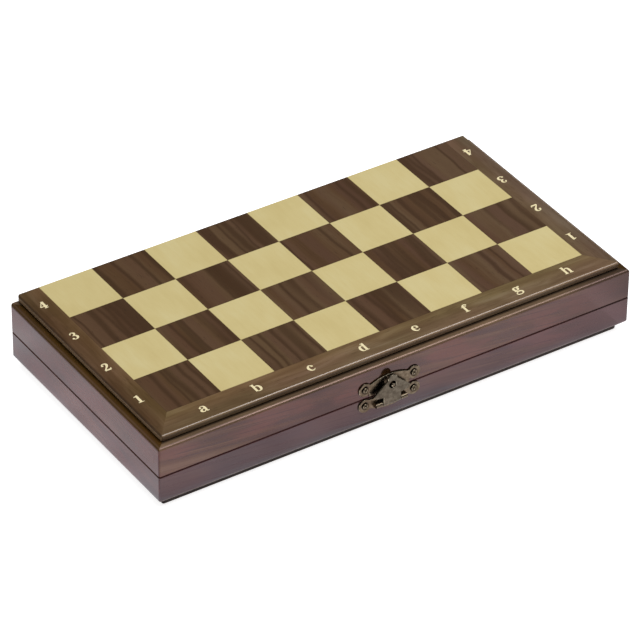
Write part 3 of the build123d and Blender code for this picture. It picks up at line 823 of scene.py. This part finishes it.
def add_felt(half, material):
    """A sheet of felt on the inside of the panel, with a softly uneven pile."""
    low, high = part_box(f"{half}_felt")
    size = high - low
    # the pile faces the rims: down in the lid and up in the base
    pile, back, inward = (low.z, high.z, 1) if half == "lid" else (high.z, low.z, -1)
    bm = bmesh.new()
    layers = []
    for level in (pile, back):
        layer = []
        for row in range(FELT_ROWS + 1):
            y = low.y + size.y * row / FELT_ROWS
            line = []
            for column in range(FELT_COLUMNS + 1):
                x = low.x + size.x * column / FELT_COLUMNS
                sink = felt_sink(x, y, low, high) * inward if level == pile else 0
                line.append(bm.verts.new((x, y, level + sink)))
            layer.append(line)
        layers.append(layer)
        for near, far in zip(layer, layer[1:]):
            for i in range(FELT_COLUMNS):
                bm.faces.new([near[i], near[i + 1], far[i + 1], far[i]])
    for near, far in zip(*(felt_rim(layer) for layer in layers)):
        bm.faces.new([near[0], near[1], far[1], far[0]])
    sheet = add_piece(f"{half}_felt_sheet", bm, material, half, f"{half}_felt",
                      smooth=True)


def felt_rim(layer):
    """The vertices round a layer's outline, each with the next."""
    right = [line[-1] for line in layer]
    left = [line[0] for line in layer]
    rim = layer[0][:-1] + right[:-1] + layer[-1][:0:-1] + left[:0:-1]
    return list(zip(rim, rim[1:] + rim[:1]))


NAIL_CROWN = 0.9 * MM                     # height of the head, from the bottom of the dish
NAIL_SHANK = 0.65 * MM                    # radius
# the head's outline, as shares of its radius and height
NAIL_HEAD = [(0.94, 0), (1, 0.25), (0.97, 0.5), (0.9, 0.76), (0.78, 0.94), (0.66, 1),
             (0.54, 0.94), (0.46, 0.74), (0.38, 0.4), (0.22, 0.2), (0, 0.14)]


def add_nails(which, half, material):
    """Nails in the ears of a latch plate, their round heads with a dimple."""
    node = f"latch_{which}_nails"
    low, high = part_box(node)
    radius = (high.z - low.z) / 2
    seat = low.y + NAIL_CROWN
    length = high.y - seat
    bm = bmesh.new()
    profile = [(0, -length), (NAIL_SHANK, -length), (NAIL_SHANK, 0)]
    profile += [(radius * out, NAIL_CROWN * up) for out, up in NAIL_HEAD]
    for x in (low.x + radius, high.x - radius):
        place = Matrix.Translation((x, seat, (low.z + high.z) / 2))
        lathe(bm, profile, place @ Matrix.Rotation(math.radians(90), 4, "X"))
    add_piece(f"{which}_nails", bm, material, half, node, smooth=True)


SCREW_OFFSET = 7.5 * MM                   # from the middle of a leaf, along the hinge


def add_screws(half, material):
    """Countersunk cross-head screws in the hinge leaves of a half."""
    node = f"{half}_hinge_screws"
    low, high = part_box(node)
    shank_way = 1 if half == "lid" else -1
    face = low.z if half == "lid" else high.z
    radius = (high.y - low.y) / 2
    length = high.z - low.z
    bm = bmesh.new()
    for side in ("left", "right"):
        leaf_low, leaf_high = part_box(f"{side}_hinge_{half}_leaf")
        for offset in (-SCREW_OFFSET, SCREW_OFFSET):
            x = (leaf_low.x + leaf_high.x) / 2 + offset
            turn = math.radians(17 + 7 * x / MM)         # each cross stands another way
            place = (Matrix.Translation((x, (low.y + high.y) / 2, face))
                     @ Matrix.Scale(shank_way, 4, (0, 0, 1)) @ Matrix.Rotation(turn, 4, "Z"))
            cross_head(bm, place, radius, length)
    add_piece(node.replace("hinge_", "leaf_"), bm, material, half, node)


def cross_head(bm, place, radius, length, steps=36):
    """A screw with a cross cut in its head; the head's face is on the local Z = 0."""
    arm, half_width, depth = 0.62 * radius, 0.14 * radius, 0.32 * radius
    floor_share = 0.75                    # of the cross that is left at its floor
    shank = radius / 2
    cross = []
    for quarter in range(4):
        turn = Matrix.Rotation(quarter * math.pi / 2, 2)
        cross += [turn @ Vector(corner) for corner in (
            (half_width, -half_width), (arm, -half_width), (arm, half_width))]
    outer = list(range(steps))
    inner = list(range(steps, steps + len(cross)))
    points, _, triangles, _, _, sources = delaunay_2d_cdt(
        circle(radius, steps) + cross, [], [outer, inner], 0, 1e-7)
    top = [bm.verts.new(place @ Vector((*point, 0))) for point in points]
    for triangle, source in zip(triangles, sources):
        if 1 not in source:
            bm.faces.new([top[index] for index in triangle])
    slot = [top[index] for index in inner]
    floor = [bm.verts.new(place @ Vector((*(corner * floor_share), depth))) for corner in cross]
    join_rings(bm, [slot, floor], len(cross))
    bm.faces.new(floor)
    rings = [[top[index] for index in outer]]
    for ring_radius, height in ((shank, radius - shank), (shank, length - shank), (0, length)):
        rings.append(add_ring(bm, ring_radius, height, place, steps))
    join_rings(bm, rings, steps)


ink = make_ink("label_ink")
felt = make_felt_material("green_felt")
nail_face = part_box("latch_upper_nails")[0].y
nail_bronze = make_bronze("nail_bronze", PLATE_TONES,
                          (nail_face + 0.15 * MM, nail_face + 0.5 * MM))
screw_brass = make_brass("screw_brass", (rgb(168, 130, 70), rgb(206, 170, 100)), 0.25)
for half, which in (("lid", "upper"), ("base", "lower")):
    add_labels(half, ink)
    add_felt(half, felt)
    add_nails(which, half, nail_bronze)
    add_screws(half, screw_brass)


# ---- stage --------------------------------------------------------------------------------------
FLOOR_REACH = 6.0
FLOOR_GAP = 0.05 * MM                     # between the floor and the box
FLOOR_WHITE = 0.85                        # its glow for the camera, on top of the lamps' light
MIRRORED_GLOW = 0.65                      # of the floor far off, in the lacquer


def mirrored_floor(s):
    """How bright the lacquer sees the floor's painted glow: a painted shadow under the box, a
    painted bright band just beyond it, more glow beside its ends, and patches farther off.
    """
    place = s.parts(s.place())
    away_x, away_y = (s.math("SUBTRACT", s.size(place[axis]), cad_bounds[1][axis])
                      for axis in (0, 1))
    away = s.greatest(away_x, away_y)
    # a painted shadow under the box, and a painted bright band just beyond it
    open_floor = s.times(s.level(away, -1.2 * MM, 1.2 * MM, 0.3, 1.0),
                         s.level(away, 2.5 * MM, 6 * MM, 1.45, 1.0))
    beside = s.level(away_x, 8 * MM, 26 * MM, 1.26, 0.54)
    before = s.level(away_y, 6 * MM, 26 * MM, 0.85, 1.0)
    is_beside = s.math("GREATER_THAN", away_x, 0.0)
    spread = s.math("MULTIPLY_ADD", is_beside, s.math("SUBTRACT", beside, before), before)
    clouds = s.noise(s.scaled(s.place(), (26, 26, 1)), detail=1.0)
    patchy = s.level(clouds, 0.35, 0.65, 0.82, 1.18)
    return s.times(s.times(open_floor, spread), patchy)


def make_floor():
    """A pale floor, white to the camera; the lacquer mirrors a painted glow of it, uneven, pinkish
    and bluish.
    """
    mesh = bpy.data.meshes.new("floor")
    corners = [(x * FLOOR_REACH, y * FLOOR_REACH, -FLOOR_GAP)
               for x, y in ((-1, -1), (1, -1), (1, 1), (-1, 1))]
    mesh.from_pydata(corners, [], [(0, 1, 2, 3)])
    floor = bpy.data.objects.new("floor", mesh)
    bpy.context.scene.collection.objects.link(floor)
    s = Shader("floor")
    camera_ray = s.light_path("Is Camera Ray")
    mirrored = s.greatest(s.light_path("Is Glossy Ray"), s.light_path("Is Transmission Ray"))
    mirrored = s.times(s.times(mirrored, mirrored_floor(s)), MIRRORED_GLOW)
    hue = s.noise(s.scaled(s.place(), (19, 19, 1), (5, 3, 0)), detail=1.0)
    tint = s.mix(s.level(hue, 0.38, 0.62), (1.06, 0.94, 0.98, 1), (0.92, 1.0, 1.06, 1))
    s.set(Base_Color=(0.8, 0.8, 0.8, 1), Roughness=1.0, Specular_IOR_Level=0.0,
          Emission_Color=s.mix(camera_ray, tint, (1, 1, 1, 1)),
          Emission_Strength=s.greatest(s.times(camera_ray, FLOOR_WHITE), mirrored))
    mesh.materials.append(s.material)


def make_lamp(name, place, size, radiance):
    """An area lamp aimed at the middle of the box, of a given brightness of its face."""
    data = bpy.data.lights.new(name, "AREA")
    data.shape = "RECTANGLE"
    data.size, data.size_y = size
    data.energy = radiance * math.pi * size[0] * size[1]
    lamp = bpy.data.objects.new(name, data)
    lamp.location = place
    aim = Vector((0, 0, 20 * MM)) - Vector(place)
    lamp.rotation_euler = aim.to_track_quat("-Z", "Y").to_euler()
    bpy.context.scene.collection.objects.link(lamp)


def make_world():
    """A soft sky, brighter overhead; the camera sees it white."""
    world = bpy.data.worlds.new("world")
    bpy.context.scene.world = world
    world.use_nodes = True
    sky = Nodes(world.node_tree)
    background = sky.tree.nodes["Background"]
    direction = sky.node("ShaderNodeTexCoord").outputs["Generated"]
    strength = sky.level(sky.parts(direction)[2], 0.58, 0.97, 0.06, 1.1, smooth=True)
    sky.feed(background.inputs["Strength"],
             sky.greatest(strength, sky.light_path("Is Camera Ray")))
    sky.feed(background.inputs["Color"], (1, 1, 1, 1))


def make_camera():
    """The photo's camera."""
    data = bpy.data.cameras.new("camera")
    data.sensor_width = CAMERA_SENSOR
    data.lens = CAMERA_LENS
    data.clip_end = 50
    camera = bpy.data.objects.new("camera", data)
    bpy.context.scene.collection.objects.link(camera)
    az, el = CAMERA_AZIMUTH, CAMERA_ELEVATION
    forward = Vector((math.sin(az) * math.cos(el), math.cos(az) * math.cos(el), -math.sin(el)))
    right = Vector((math.cos(az), -math.sin(az), 0))
    rotation = Matrix((right, right.cross(forward), -forward)).transposed()
    roll = Matrix.Rotation(CAMERA_ROLL, 3, "Z")
    camera.matrix_world = (Matrix.Translation(CAMERA_TARGET - forward * CAMERA_DISTANCE)
                           @ (rotation @ roll).to_4x4())
    bpy.context.scene.camera = camera


make_floor()
make_world()
make_lamp("key", (0.42, -0.5, 1.55), (1.2, 0.8), 4.7)
make_camera()
bpy.context.scene.view_settings.view_transform = "Standard"
